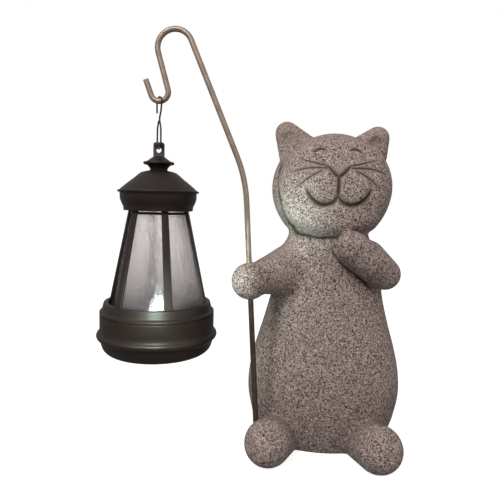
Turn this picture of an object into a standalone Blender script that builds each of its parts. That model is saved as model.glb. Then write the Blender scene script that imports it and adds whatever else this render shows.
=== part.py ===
"""Solar cat garden statue: a cast cat that holds a bent steel rod with a small lantern hanging from it.

Metres, +Z up. The origin is on the ground at the middle of the cat's underside. The cat faces -Y, and
the rod and its lantern are on its right, towards -X. Run it with blender --background --python part.py,
or from the text editor.
"""

from math import cos, pi, radians, sin, tau

import bmesh
import bpy
from mathutils import Matrix, Vector
from mathutils.bvhtree import BVHTree

# The gap between two pieces that touch.
TOUCH = 0.0003

# The cat's free form is given in parts, 272 of them to its height.
CAT_HEIGHT = 0.272
PART = CAT_HEIGHT / 272
CAT_VOXEL = 2.1 * PART
CAT_TRIANGLES = 3500

# Rows of the body: height, half width, half depth.
BODY_ROWS = [
    (-6, 49, 32), (1, 53, 34), (9, 56.5, 36), (22, 61, 37.5), (42, 64.8, 38.5), (62, 63.8, 38.5),
    (82, 59.4, 37), (103, 53.2, 34.5), (125, 47.6, 32), (148, 44.5, 29), (163, 41, 25.5), (176, 34, 22.5),
    (190, 32, 22),
]
BODY_MIDDLE = 0.3
BODY_SQUARENESS = 2.2

# The head is a broad rim with a face disc swelling out of its front. Each has a middle and half sizes.
HEAD_MIDDLE = (1.5, 3, 216.2)
HEAD_HALF = (50.3, 26, 44.8)
FACE_MIDDLE = (2.5, -14, 217)
FACE_HALF = (46.3, 23, 41)
JOWL_MIDDLE = (3, -20, 196)
JOWL_HALF = (35, 17.5, 19)
FOREHEAD_MIDDLE = (2, -8, 225)
FOREHEAD_HALF = (41, 26, 36)
HEAD_SQUARENESS = 2.3
MUZZLE_MIDDLE = (3.6, -31.5, 215)
MUZZLE_SPREAD = 12.8
MUZZLE_HALF = (13, 7, 13.5)

# Each ear is drawn tight over three flattened balls: the tip, the outer root and the inner root.
EAR_TIPS = {-1: (-37.6, 2, 261.8), 1: (38, 2, 258.9)}
EAR_TIP_RADIUS = 10
EAR_ROOTS = [(35.6, 3, 243), (20.4, 2, 250)]
EAR_ROOT_RADIUS = 9.5
EAR_FLATNESS = 0.72
EAR_HOLLOW_OFFSET = (2.5, -9.5, -7)
EAR_HOLLOW_HALF = (8.5, 6.5, 10)

# The right arm reaches out to the rod, and the left one is raised to the chin.
SHOULDER = (-30, -6, 147)
SHOULDER_RADIUS = 22.5
WRIST = (-55, -38, 144)
WRIST_RADIUS = 13
ROD_PAW = (-62.4, -46, 142.5)
ROD_PAW_RADIUS = 14.5
RAISED_ARM = [((33, -8, 160), 14.5), ((44.5, -22, 148.5), 13)]
RAISED_FOREARM = [((44.5, -22, 148.5), 13), ((29, -33, 160), 13.8), ((15.4, -41, 171.3), 12.5)]

# Each foot is a ball in front that runs back into the body.
FEET_MIDDLE = -1.9
FOOT_BALL = (42.7, -55, 17)
FOOT_RADIUS = 18.5
FOOT_BACK = (35, -27, 14)
FOOT_BACK_RADIUS = 12
FOOT_HEEL = (26, -31, 7)
FOOT_HEEL_RADIUS = 8

# Carved lines of the face, as x and z on the face, with half their width.
FACE_MIDLINE = 3.8
EYES_SHIFT = -1.4
EYE_LINE = [(-18.6, 244), (-16, 246), (-12.8, 246.4), (-9.4, 245.4)]
EYE_HALF_WIDTH = 1.0
NOSE_LINE = [(-7.9, 232.6), (0, 224.2)]
NOSE_HALF_WIDTH = 0.9
PHILTRUM = [(0, 224.2), (0, 209.6)]
MOUTH_LINE = [
    (0, 209.6), (-3.6, 205.2), (-9.8, 203), (-15.6, 203.7), (-20.6, 207.2), (-24, 211.8), (-25, 215),
]
MOUTH_HALF_WIDTH = 1.5
PHILTRUM_HALF_WIDTH = 1.2
WHISKERS = [
    [(-9, 233), (-18, 235), (-30, 238.4)],
    [(-9.4, 231.4), (-25, 231), (-37.5, 227.6)],
    [(-13, 229.6), (-22, 224.6), (-33, 216)],
]
WHISKER_HALF_WIDTH = 0.65

# The steel rod is round, and runs straight from its socket in the foot through the paw to its first
# bend. After that it follows its bends: a straight run, then the bend's radius and angle.
ROD_DIAMETER = 0.0043
ROD_FIT = 0.0004
ROD_SOCKET = (-53.4, -46, 8)
ROD_BENDS = [
    (0.1960, 0.105, radians(19.3)),
    (0.0923, 0.0133, radians(172.6)),
    (0.0284, 0.0068, radians(-175.7)),
]
ROD_TIP_LENGTH = 0.0121
ROD_SIDES = 10

# The wire that the lantern hangs on, with an open hook above and a closed loop below.
WIRE_DIAMETER = 0.0013
WIRE_HOOK_TURN = radians(52)
WIRE_LOOP_TURN = radians(60)
WIRE_LENGTH = 0.03865
WIRE_LOOP_LENGTH = 0.02205
WIRE_LOOP_HALF_WIDTH = 0.0049
WIRE_LOOP_SQUARENESS = 2.8
WIRE_TAIL = 0.0085
WIRE_SEAT = 0.0005

# The lantern's bowl. Heights are over the bowl's underside.
BASE_RADIUS = 0.0443
BASE_HEIGHT = 0.0309
BASE_WALL = 0.0022
BASE_FOOT_RADIUS = 0.0343
BASE_CORNER = 0.0090
BEAD_STANDOUT = 0.0025
BEAD_HEIGHT = 0.0144
BEAD_HALF_HEIGHT = 0.0034

# The frame: a round ring with a floor that sits flush on the bowl, six bars that lean in from inside
# the ring, and a six-sided ring near their tops.
RING_HEIGHT = 0.0090
RING_LIP = 0.0020
RING_WALL = 0.0027
FLOOR_THICKNESS = 0.0030
BAR_COUNT = 6
BAR_TURN = radians(26)
BAR_INSET = 0.0057
BAR_TOP_RADIUS = 0.0228
BAR_HEIGHT = 0.0740
BAR_FOOT_WIDTH = 0.0062
BAR_TOP_WIDTH = 0.0050
BAR_THICKNESS = 0.0020
COLLAR_DROP = 0.0042
COLLAR_HEIGHT = 0.0019

# The clear liner stands on the frame's floor, inside the bars.
GLASS_WALL = 0.0012
GLASS_TOP_GAP = 0.0012

# The cap, a hollow turned moulding with a flat lug on top. Its skirt goes round the bars' tops.
CAP_WALL = 0.0018
CAP_SKIRT_DEPTH = 0.0037
CAP_SKIRT_HEIGHT = 0.0045
CAP_FIT = 0.0018
CAP_STEP = 0.0014
CAP_BAND_FLARE = 0.0015
CAP_BAND_HEIGHT = 0.0092
EAVE_OVERHANG = 0.0018
EAVE_THICKNESS = 0.0017
ROOF_HEIGHT = 0.0150
ROOF_SHOULDER_RADIUS = 0.0132
NECK_RADIUS = 0.0065
LIP_RADIUS = 0.0118
FINIAL_HEIGHT = 0.0108
LUG_WIDTH = 0.0082
LUG_THICKNESS = 0.0026
LUG_HEIGHT = 0.0108
LUG_HOLE = 0.0044
LUG_HOLE_HEIGHT = 0.0050

# The small light on the floor.
LIGHT_SEAT_RADIUS = 0.0060
LIGHT_SEAT_HEIGHT = 0.0012
LIGHT_RADIUS = 0.0025
LIGHT_HEIGHT = 0.0088

TURNED_SEGMENTS = 28


def material(name, colour, roughness, metallic=0.0, transmission=0.0):
    """A plain surface in a linear colour."""
    made = bpy.data.materials.new(name)
    made.use_nodes = True
    surface = made.node_tree.nodes["Principled BSDF"]
    surface.inputs["Base Color"].default_value = (*colour, 1.0)
    surface.inputs["Roughness"].default_value = roughness
    surface.inputs["Metallic"].default_value = metallic
    surface.inputs["Transmission Weight"].default_value = transmission
    made.diffuse_color = (*colour, 1.0)
    return made


def add_object(name, shape, finish=None, parent=None):
    """A scene object from a bmesh or from ready data."""
    if isinstance(shape, bmesh.types.BMesh):
        bmesh.ops.recalc_face_normals(shape, faces=shape.faces)
        data = bpy.data.meshes.new(name)
        shape.to_mesh(data)
        shape.free()
    else:
        data = shape
    made = bpy.data.objects.new(name, data)
    bpy.context.scene.collection.objects.link(made)
    if finish:
        data.materials.append(finish)
    made.parent = parent
    return made


def settle(made):
    """Give an object the shape that its modifiers make, and take them off."""
    bpy.context.view_layer.update()
    evaluated = made.evaluated_get(bpy.context.evaluated_depsgraph_get())
    shaped = bpy.data.meshes.new_from_object(evaluated)
    made.modifiers.clear()
    made.data = shaped


def combine(made, others, operation):
    """Join other objects to one, or cut them out of it, and remove them."""
    for other in others:
        step = made.modifiers.new(operation.title(), "BOOLEAN")
        step.operation = operation
        step.solver = "EXACT"
        step.object = other
    settle(made)
    for other in others:
        bpy.data.objects.remove(other)


def in_parts(point):
    """A place on the cat, from parts to metres."""
    return Vector(point) * PART


# Solid shapes

def squared(angle, squareness):
    """A point on a unit circle that is squared off where squareness is over 2."""
    power = 2 / squareness
    x, y = cos(angle), sin(angle)
    return (abs(x) ** power * (1 if x > 0 else -1), abs(y) ** power * (1 if y > 0 else -1))


def add_rounded(mesh, middle, half, squareness=2.0, rings=20, sides=32):
    """Add a rounded body with these half sizes, in parts of the cat."""
    rows = []
    for ring in range(1, rings):
        across, up = squared(pi * ring / rings - pi / 2, squareness)
        row = []
        for side in range(sides):
            x, y = squared(tau * side / sides, squareness)
            offset = Vector((half[0] * across * x, half[1] * across * y, half[2] * up))
            row.append(mesh.verts.new(in_parts(Vector(middle) + offset)))
        rows.append(row)
    close_rows(mesh, rows)


def close_rows(mesh, rows):
    """Skin equal rows of points, and close the first and the last with a face."""
    for low, high in zip(rows, rows[1:]):
        for side in range(len(low)):
            after = (side + 1) % len(low)
            mesh.faces.new((low[side], low[after], high[after], high[side]))
    mesh.faces.new(list(reversed(rows[0])))
    mesh.faces.new(rows[-1])


def add_tight_skin(mesh, balls, flatness=1.0):
    """Add the skin drawn tight over balls, given as middle and radius in parts of the cat."""
    skin = bmesh.new()
    for middle, radius in balls:
        place = Matrix.Translation(in_parts(middle)) @ Matrix.Diagonal((1, flatness, 1, 1))
        bmesh.ops.create_icosphere(skin, subdivisions=3, radius=radius * PART, matrix=place)
    hull = bmesh.ops.convex_hull(skin, input=skin.verts)
    unused = {item for item in hull["geom_interior"] + hull["geom_unused"]}
    loose = [item for item in unused if isinstance(item, bmesh.types.BMVert)]
    bmesh.ops.delete(skin, geom=loose, context="VERTS")
    bmesh.ops.recalc_face_normals(skin, faces=skin.faces)
    made = bpy.data.meshes.new("skin")
    skin.to_mesh(made)
    skin.free()
    mesh.from_mesh(made)
    bpy.data.meshes.remove(made)


def add_turned(mesh, outline, segments=TURNED_SEGMENTS):
    """Add a closed outline of (radius, height) turned about the Z axis."""
    verts = [mesh.verts.new((radius, 0, height)) for radius, height in outline]
    edges = [mesh.edges.new((verts[i - 1], verts[i])) for i in range(len(verts))]
    bmesh.ops.spin(
        mesh, geom=verts + edges, axis=(0, 0, 1), cent=(0, 0, 0), angle=tau, steps=segments,
        use_merge=True,
    )
    bmesh.ops.remove_doubles(mesh, verts=mesh.verts, dist=1e-6)
    flat = [edge for edge in mesh.edges if not edge.link_faces]
    bmesh.ops.delete(mesh, geom=flat, context="EDGES")


def add_six_sided(mesh, rows):
    """Add a skin over hexagons, given as corner radius and height, their corners on the bars."""
    made = []
    for radius, height in rows:
        corners = []
        for k in range(BAR_COUNT):
            direction = bar_direction(k)
            corners.append(mesh.verts.new((direction.x * radius, direction.y * radius, height)))
        made.append(corners)
    made.append(made[0])
    for low, high in zip(made, made[1:]):
        for side in range(BAR_COUNT):
            after = (side + 1) % BAR_COUNT
            mesh.faces.new((low[side], low[after], high[after], high[side]))


def arc(middle, radius, start, end, steps):
    """Points on a circle in a turned outline, from one angle to another."""
    points = []
    for k in range(steps + 1):
        angle = start + (end - start) * k / steps
        points.append((middle[0] + radius * cos(angle), middle[1] + radius * sin(angle)))
    return points


def tube(name, points, diameter, sides, finish=None, closed=False):
    """A round bar along a path, as a curve with filled ends."""
    curve = bpy.data.curves.new(name, "CURVE")
    curve.dimensions = "3D"
    curve.bevel_depth = diameter / 2
    curve.bevel_resolution = (sides - 4) // 2
    curve.use_fill_caps = True
    spline = curve.splines.new("POLY")
    spline.points.add(len(points) - 1)
    for point, place in zip(spline.points, points):
        point.co = (*place, 1.0)
    spline.use_cyclic_u = closed
    return add_object(name, curve, finish)


def tube_cutter(points, diameter, sides):
    """A closed mesh of a tube, to cut with."""
    drawn = tube("cutter", points, diameter, sides)
    bpy.context.view_layer.update()
    mesh = bmesh.new()
    mesh.from_mesh(drawn.to_mesh())
    bpy.data.objects.remove(drawn)
    bmesh.ops.remove_doubles(mesh, verts=mesh.verts, dist=1e-6)
    return add_object("cutter", mesh)


def smooth_path(points, steps):
    """A smooth curve through a few points."""
    ends = [2 * points[0] - points[1], *points, 2 * points[-1] - points[-2]]
    path = []
    for a, b, c, d in zip(ends, ends[1:], ends[2:], ends[3:]):
        for k in range(steps):
            t = k / steps
            path.append(0.5 * (
                2 * b + (c - a) * t + (2 * a - 5 * b + 4 * c - d) * t * t
                + (3 * b - a - 3 * c + d) * t ** 3
            ))
    path.append(points[-1])
    return path


# The cat

def body_outline(height):
    """The body's half width and half depth at a height, smooth between its rows."""
    rows = BODY_ROWS
    k = max(i for i in range(len(rows) - 1) if rows[i][0] <= height or i == 0)
    around = [rows[max(k - 1, 0)], rows[k], rows[k + 1], rows[min(k + 2, len(rows) - 1)]]
    t = (height - rows[k][0]) / (rows[k + 1][0] - rows[k][0])
    values = []
    for column in (1, 2):
        a, b, c, d = (row[column] for row in around)
        values.append(0.5 * (
            2 * b + (c - a) * t + (2 * a - 5 * b + 4 * c - d) * t * t + (3 * b - a - 3 * c + d) * t ** 3
        ))
    return values


def add_body(mesh):
    """Add the rounded column of the body, from just under the ground into the head."""
    rows = []
    bottom, top = BODY_ROWS[0][0], BODY_ROWS[-1][0]
    for k in range(50):
        height = bottom + (top - bottom) * k / 49
        half_width, half_depth = body_outline(height)
        row = []
        for side in range(48):
            x, y = squared(tau * side / 48, BODY_SQUARENESS)
            row.append(mesh.verts.new(in_parts((BODY_MIDDLE + half_width * x, half_depth * y, height))))
        rows.append(row)
    close_rows(mesh, rows)


def cat_masses():
    """The overlapping masses that the figure is modelled from, in one mesh."""
    mesh = bmesh.new()
    add_body(mesh)
    add_rounded(mesh, HEAD_MIDDLE, HEAD_HALF, HEAD_SQUARENESS)
    add_rounded(mesh, FACE_MIDDLE, FACE_HALF, HEAD_SQUARENESS)
    add_rounded(mesh, FOREHEAD_MIDDLE, FOREHEAD_HALF)
    add_rounded(mesh, JOWL_MIDDLE, JOWL_HALF)
    for side in (-1, 1):
        puff = Vector(MUZZLE_MIDDLE) + Vector((side * MUZZLE_SPREAD, 0, 0))
        add_rounded(mesh, puff, MUZZLE_HALF)
        ear = [(EAR_TIPS[side], EAR_TIP_RADIUS)]
        for x, y, z in EAR_ROOTS:
            ear.append(((HEAD_MIDDLE[0] + side * x, y, z), EAR_ROOT_RADIUS))
        flattened = [((x, y / EAR_FLATNESS, z), radius) for (x, y, z), radius in ear]
        add_flat_skin(mesh, flattened)
        foot = [((FEET_MIDDLE + side * FOOT_BALL[0], *FOOT_BALL[1:]), FOOT_RADIUS)]
        foot.append(((FEET_MIDDLE + side * FOOT_BACK[0], *FOOT_BACK[1:]), FOOT_BACK_RADIUS))
        foot.append(((FEET_MIDDLE + side * FOOT_HEEL[0], *FOOT_HEEL[1:]), FOOT_HEEL_RADIUS))
        add_tight_skin(mesh, foot)
    add_tight_skin(mesh, [(SHOULDER, SHOULDER_RADIUS), (WRIST, WRIST_RADIUS)])
    add_tight_skin(mesh, [(WRIST, WRIST_RADIUS), (ROD_PAW, ROD_PAW_RADIUS)])
    add_tight_skin(mesh, RAISED_ARM)
    add_tight_skin(mesh, RAISED_FOREARM[:2])
    add_tight_skin(mesh, RAISED_FOREARM[1:])
    return mesh


def add_flat_skin(mesh, balls):
    """Add an ear's skin, flattened from front to back."""
    add_tight_skin(mesh, [((x, y * EAR_FLATNESS, z), radius) for (x, y, z), radius in balls], EAR_FLATNESS)


def carved_line(surface, line, half_width):
    """A cutter along a line of the face: x from the face's midline and z, laid on the surface."""
    flat = [Vector((FACE_MIDLINE + x, 0, z)) for x, z in line]
    steps = 1 if len(flat) == 2 and flat[0].x == flat[1].x else 2
    path = []
    for point in smooth_path(flat, steps):
        start = in_parts((point.x, -120, point.z))
        hit = surface.ray_cast(start, Vector((0, 1, 0)))
        path.append(hit[0])
    return tube_cutter(path, 2 * half_width * PART, 6)


def mirrored(line):
    """The same line on the other side of the face."""
    return [(-x, z) for x, z in line]


def face_cutters(cat):
    """Every carved line of the face as a cutter."""
    surface = BVHTree.FromObject(cat, bpy.context.evaluated_depsgraph_get())
    cutters = []
    for eye in (EYE_LINE, mirrored(EYE_LINE)):
        shifted = [(x + EYES_SHIFT, z) for x, z in eye]
        cutters.append(carved_line(surface, shifted, EYE_HALF_WIDTH))
    lines = [(NOSE_LINE, NOSE_HALF_WIDTH), (MOUTH_LINE, MOUTH_HALF_WIDTH)]
    lines += [(whisker, WHISKER_HALF_WIDTH) for whisker in WHISKERS]
    for line, half_width in lines:
        cutters.append(carved_line(surface, line, half_width))
        cutters.append(carved_line(surface, mirrored(line), half_width))
    cutters.append(carved_line(surface, PHILTRUM, PHILTRUM_HALF_WIDTH))
    return cutters


def ear_hollow(side):
    """A rounded cutter that hollows the front of an ear."""
    x, y, z = EAR_HOLLOW_OFFSET
    mesh = bmesh.new()
    middle = Vector(EAR_TIPS[side]) + Vector((-side * x, y, z))
    add_rounded(mesh, middle, EAR_HOLLOW_HALF, rings=10, sides=16)
    return add_object("ear_hollow", mesh)


def rod_bore(start, end):
    """A round cutter along the rod between two places on its straight run."""
    return tube_cutter([start, end], ROD_DIAMETER + 2 * ROD_FIT, 12)


def build_cat(finish):
    """The cast figure, with a bore in the paw and a socket in the foot for the rod."""
    cat = add_object("cat", cat_masses())
    shell = cat.modifiers.new("Join", "REMESH")
    shell.mode = "VOXEL"
    shell.voxel_size = CAT_VOXEL
    soften = cat.modifiers.new("Soften", "SMOOTH")
    soften.factor = 0.5
    soften.iterations = 4
    settle(cat)
    lighten = cat.modifiers.new("Lighten", "DECIMATE")
    lighten.ratio = CAT_TRIANGLES / sum(len(face.vertices) - 2 for face in cat.data.polygons)
    settle(cat)
    ground = bmesh.new()
    bmesh.ops.create_cube(ground, size=1, matrix=Matrix.Translation((0, 0, -0.5)))
    combine(cat, [add_object("ground", ground), ear_hollow(-1), ear_hollow(1)], "DIFFERENCE")
    combine(cat, face_cutters(cat), "DIFFERENCE")
    socket, paw = in_parts(ROD_SOCKET), in_parts(ROD_PAW)
    along = (paw - socket).normalized()
    reach = (ROD_PAW_RADIUS + 6) * PART
    foot_bore = rod_bore(socket - along * TOUCH, socket + along * (FOOT_RADIUS * 2.2 * PART))
    paw_bore = rod_bore(paw - along * reach, paw + along * reach)
    combine(cat, [foot_bore, paw_bore], "DIFFERENCE")
    cat.data.materials.clear()
    cat.data.materials.append(finish)
    return cat


# The rod and the wire

def rod_path():
    """The rod's middle line, and the place at the bottom of its hook that the wire hangs on."""
    socket, paw = in_parts(ROD_SOCKET), in_parts(ROD_PAW)
    along = (paw - socket).normalized()
    side = Vector((0, 1, 0)).cross(along).normalized() * -1
    place, path, hook = socket.copy(), [socket.copy()], None
    for straight, radius, angle in ROD_BENDS:
        place = place + along * straight
        turn = 1 if angle > 0 else -1
        middle = place + side * (turn * radius)
        steps = max(5, round(abs(angle) / radians(15)))
        axis = along.cross(side) * turn
        for k in range(steps + 1):
            spin = Matrix.Rotation(abs(angle) * k / steps, 3, axis)
            path.append(middle + spin @ (place - middle))
        spin = Matrix.Rotation(abs(angle), 3, axis)
        hook = middle - Vector((0, 0, radius))
        place, along, side = path[-1].copy(), spin @ along, spin @ side
    path.append(place + along * ROD_TIP_LENGTH)
    return path, hook


def wire_path(hook):
    """The wire's middle line: over the rod, down to the crossing, and round the loop in the lug."""
    clear = ROD_DIAMETER / 2 + WIRE_DIAMETER / 2 + TOUCH
    front = Vector((cos(WIRE_HOOK_TURN), -sin(WIRE_HOOK_TURN), 0))
    wide = Vector((cos(WIRE_LOOP_TURN), -sin(WIRE_LOOP_TURN), 0))
    top = hook + Vector((0, 0, clear))
    bottom = top.z - WIRE_LENGTH
    crossing = bottom + WIRE_LOOP_LENGTH

    def at(direction, reach, height):
        return Vector((hook.x, hook.y, height)) + direction * reach

    reach = clear / sin(WIRE_HOOK_TURN) + TOUCH
    points = [at(front, -reach, top.z - clear - WIRE_TAIL), at(front, -reach, hook.z)]
    for k in range(1, 4):
        angle = pi - pi * k / 4
        points.append(at(front, reach * cos(angle), hook.z + clear * sin(angle)))
    points.append(at(front, reach, hook.z))
    points.append(at(front, reach * 0.8, (hook.z + crossing) / 2))
    points.append(at(wide, WIRE_DIAMETER * 0.8, crossing))
    half = WIRE_LOOP_HALF_WIDTH
    points.append(at(wide, half * 0.9, crossing - WIRE_LOOP_LENGTH * 0.3))
    points.append(at(wide, half, bottom + half))
    for k in range(1, 6):
        across, up = squared(-pi * k / 6, WIRE_LOOP_SQUARENESS)
        points.append(at(wide, half * across, bottom + half + half * up))
    points.append(at(wide, -half, bottom + half))
    points.append(at(wide, -half * 0.9, crossing - WIRE_LOOP_LENGTH * 0.3))
    points.append(at(wide, -WIRE_DIAMETER * 0.8, crossing - 0.001))
    return points, bottom


# The lantern

def bar_direction(k):
    """The way that a bar faces, flat to the ground."""
    angle = BAR_TURN - pi / 2 + tau * k / BAR_COUNT
    return Vector((cos(angle), sin(angle), 0))


FLOOR = BASE_HEIGHT + TOUCH + FLOOR_THICKNESS
RING_TOP = BASE_HEIGHT + TOUCH + RING_HEIGHT
BAR_TOP = RING_TOP + BAR_HEIGHT
BEAD_RADIUS = BASE_RADIUS + BEAD_STANDOUT
BAR_FOOT_RADIUS = BASE_RADIUS - BAR_INSET
RING_TOP_RADIUS = BAR_FOOT_RADIUS + RING_LIP
CAP_SKIRT_RADIUS = BAR_TOP_RADIUS + CAP_FIT + CAP_WALL
CAP_BAND_FOOT_RADIUS = CAP_SKIRT_RADIUS + CAP_STEP
CAP_BAND_TOP_RADIUS = CAP_BAND_FOOT_RADIUS + CAP_BAND_FLARE
EAVE_RADIUS = CAP_BAND_TOP_RADIUS + EAVE_OVERHANG


def bar_radius(height):
    """How far out a bar's outer face is at a height."""
    share = (height - RING_TOP) / BAR_HEIGHT
    return BAR_FOOT_RADIUS + (BAR_TOP_RADIUS - BAR_FOOT_RADIUS) * share


def base_outline():
    """The bowl in section, open above."""
    corner = (BASE_FOOT_RADIUS, BASE_CORNER)
    outer = [(0, 0)] + arc(corner, BASE_CORNER, -pi / 2, -radians(18), 5)
    outer += [(BASE_RADIUS, BEAD_HEIGHT - BEAD_HALF_HEIGHT)]
    outer += [(BEAD_RADIUS - 0.0006, BEAD_HEIGHT - BEAD_HALF_HEIGHT * 0.45), (BEAD_RADIUS, BEAD_HEIGHT)]
    outer += [(BEAD_RADIUS - 0.0007, BEAD_HEIGHT + BEAD_HALF_HEIGHT * 0.5)]
    outer += [(BASE_RADIUS, BEAD_HEIGHT + BEAD_HALF_HEIGHT), (BASE_RADIUS, BASE_HEIGHT)]
    inner = [(BASE_RADIUS - BASE_WALL, BASE_HEIGHT), (BASE_RADIUS - BASE_WALL, BASE_CORNER + 0.002)]
    inner += [(BASE_FOOT_RADIUS, BASE_WALL), (0, BASE_WALL)]
    return outer + inner


def ring_outline():
    """The frame's lower ring and its floor in section."""
    foot = BASE_HEIGHT + TOUCH
    inside = RING_TOP_RADIUS - RING_WALL
    outer = [(0, foot), (BASE_RADIUS, foot), (BASE_RADIUS, foot + 0.0018)]
    outer += [(BASE_RADIUS - 0.0004, foot + 0.0024), (BASE_RADIUS - 0.0018, foot + 0.0030)]
    outer += [(RING_TOP_RADIUS + 0.0014, foot + RING_HEIGHT * 0.66), (RING_TOP_RADIUS + 0.0005, RING_TOP - 0.0007)]
    outer += [(RING_TOP_RADIUS - 0.0003, RING_TOP), (inside, RING_TOP), (inside, FLOOR), (0, FLOOR)]
    return outer


def bar_solid(k):
    """One leaning bar, from the floor of the ring to its top inside the cap."""
    out = bar_direction(k)
    across = Vector((-out.y, out.x, 0))
    mesh = bmesh.new()
    rows = []
    for height in (FLOOR - 0.0010, BAR_TOP):
        share = (height - RING_TOP) / BAR_HEIGHT
        half = (BAR_FOOT_WIDTH + (BAR_TOP_WIDTH - BAR_FOOT_WIDTH) * share) / 2
        outer = bar_radius(height)
        row = []
        for reach, side in ((outer - BAR_THICKNESS, -half), (outer, -half), (outer, half),
                            (outer - BAR_THICKNESS, half)):
            row.append(mesh.verts.new(out * reach + across * side + Vector((0, 0, height))))
        rows.append(row)
    close_rows(mesh, rows)
    return add_object("bar", mesh)


def build_frame(finish, lantern):
    """The ring, floor, bars and collar as one moulding."""
    mesh = bmesh.new()
    add_turned(mesh, ring_outline())
    frame = add_object("lantern_frame", mesh, None, lantern)
    low, high = BAR_TOP - COLLAR_DROP - COLLAR_HEIGHT, BAR_TOP - COLLAR_DROP
    collar = bmesh.new()
    inner, outer = -BAR_THICKNESS + 0.0001, -0.0002
    rows = [(bar_radius(low) + inner, low), (bar_radius(low) + outer, low),
            (bar_radius(high) + outer, high), (bar_radius(high) + inner, high)]
    add_six_sided(collar, rows)
    others = [bar_solid(k) for k in range(BAR_COUNT)] + [add_object("collar", collar)]
    frame.parent = None
    combine(frame, others, "UNION")
    frame.parent = lantern
    frame.data.materials.clear()
    frame.data.materials.append(finish)
    return frame


def build_glass(finish, lantern):
    """The clear six-sided liner, open at both ends."""
    low = FLOOR + TOUCH
    high = BAR_TOP - GLASS_TOP_GAP
    outer = -BAR_THICKNESS - TOUCH
    inner = outer - GLASS_WALL / cos(pi / BAR_COUNT)
    mesh = bmesh.new()
    add_six_sided(mesh, [(bar_radius(low) + outer, low), (bar_radius(high) + outer, high),
                         (bar_radius(high) + inner, high), (bar_radius(low) + inner, low)])
    return add_object("lantern_glass", mesh, finish, lantern)


def cap_heights():
    """The main heights of the cap: its foot, shelf, band top, roof top and lug foot."""
    shelf = BAR_TOP + TOUCH
    foot = shelf - CAP_SKIRT_DEPTH
    band_top = foot + CAP_SKIRT_HEIGHT + CAP_BAND_HEIGHT
    roof_top = band_top + EAVE_THICKNESS + ROOF_HEIGHT
    return foot, shelf, band_top, roof_top, roof_top + FINIAL_HEIGHT


def cap_outline():
    """The hollow cap in section, without its lug."""
    foot, shelf, band_top, roof_top, lug_foot = cap_heights()
    eave = band_top + EAVE_THICKNESS
    step = foot + CAP_SKIRT_HEIGHT
    outer = [(CAP_SKIRT_RADIUS - CAP_WALL, foot), (CAP_SKIRT_RADIUS, foot)]
    outer += [(CAP_SKIRT_RADIUS + 0.0003, step - 0.0012), (CAP_BAND_FOOT_RADIUS, step + 0.0004)]
    outer += [(CAP_BAND_TOP_RADIUS - 0.0003, step + 0.0036), (CAP_BAND_TOP_RADIUS, band_top)]
    outer += [(EAVE_RADIUS - 0.0005, band_top), (EAVE_RADIUS, band_top + EAVE_THICKNESS * 0.4)]
    outer += [(EAVE_RADIUS - 0.0004, eave), (ROOF_SHOULDER_RADIUS + 0.0012, roof_top - 0.0026)]
    outer += [(ROOF_SHOULDER_RADIUS - 0.0012, roof_top - 0.0012), (NECK_RADIUS + 0.001, roof_top)]
    outer += [(NECK_RADIUS, roof_top + 0.0008), (LIP_RADIUS - 0.0030, roof_top + 0.0044)]
    outer += [(LIP_RADIUS - 0.0005, roof_top + 0.0052), (LIP_RADIUS, roof_top + 0.0061)]
    outer += [(LIP_RADIUS - 0.0012, roof_top + 0.0073), (LIP_RADIUS - 0.0032, roof_top + 0.0077)]
    outer += [(LUG_WIDTH / 2, lug_foot), (0, lug_foot)]
    inside = [(0, roof_top - 0.0030), (ROOF_SHOULDER_RADIUS - 0.0015, roof_top - 0.0040)]
    inside += [(CAP_BAND_TOP_RADIUS - 2 * CAP_WALL - 0.0024, band_top - 0.0006)]
    ledge = bar_radius(BAR_TOP) - BAR_THICKNESS - 0.0022
    inside += [(ledge, shelf + 0.0030), (ledge, shelf), (CAP_SKIRT_RADIUS - CAP_WALL, shelf)]
    return outer + inside


def build_cap(finish, lantern):
    """The cap with the lug on top, and the hole that the wire passes through."""
    lug_foot = cap_heights()[-1]
    mesh = bmesh.new()
    add_turned(mesh, cap_outline())
    cap = add_object("lantern_cap", mesh)
    lug = bmesh.new()
    corner = LUG_WIDTH * 0.22
    half, top = LUG_WIDTH / 2, lug_foot + LUG_HEIGHT
    outline = [(half, lug_foot - 0.0030)] + arc((half - corner, top - corner), corner, 0, pi / 2, 4)
    outline += arc((corner - half, top - corner), corner, pi / 2, pi, 4) + [(-half, lug_foot - 0.0030)]
    rows = []
    for y in (LUG_THICKNESS / 2, -LUG_THICKNESS / 2):
        rows.append([lug.verts.new((x, y, z)) for x, z in outline])
    close_rows(lug, rows)
    combine(cap, [add_object("lug", lug)], "UNION")
    hole_height = lug_foot + LUG_HOLE_HEIGHT
    ends = [Vector((0, -EAVE_RADIUS, hole_height)), Vector((0, EAVE_RADIUS, hole_height))]
    combine(cap, [tube_cutter(ends, LUG_HOLE, 14)], "DIFFERENCE")
    cap.parent = lantern
    cap.data.materials.clear()
    cap.data.materials.append(finish)
    return cap


def build_base(finish, lantern):
    """The hollow bowl."""
    mesh = bmesh.new()
    add_turned(mesh, base_outline())
    return add_object("lantern_base", mesh, finish, lantern)


def build_light(finish, lantern):
    """The small light, a domed lens on a round seat."""
    foot = FLOOR + TOUCH
    seat = foot + LIGHT_SEAT_HEIGHT
    dome = foot + LIGHT_HEIGHT - LIGHT_RADIUS
    mesh = bmesh.new()
    outline = [(0, foot), (LIGHT_SEAT_RADIUS, foot), (LIGHT_SEAT_RADIUS, seat), (LIGHT_RADIUS, seat)]
    outline += arc((0, dome), LIGHT_RADIUS, 0, pi / 2, 4)[:-1] + [(0, foot + LIGHT_HEIGHT)]
    add_turned(mesh, outline, 12)
    return add_object("led_light", mesh, finish, lantern)


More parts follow.
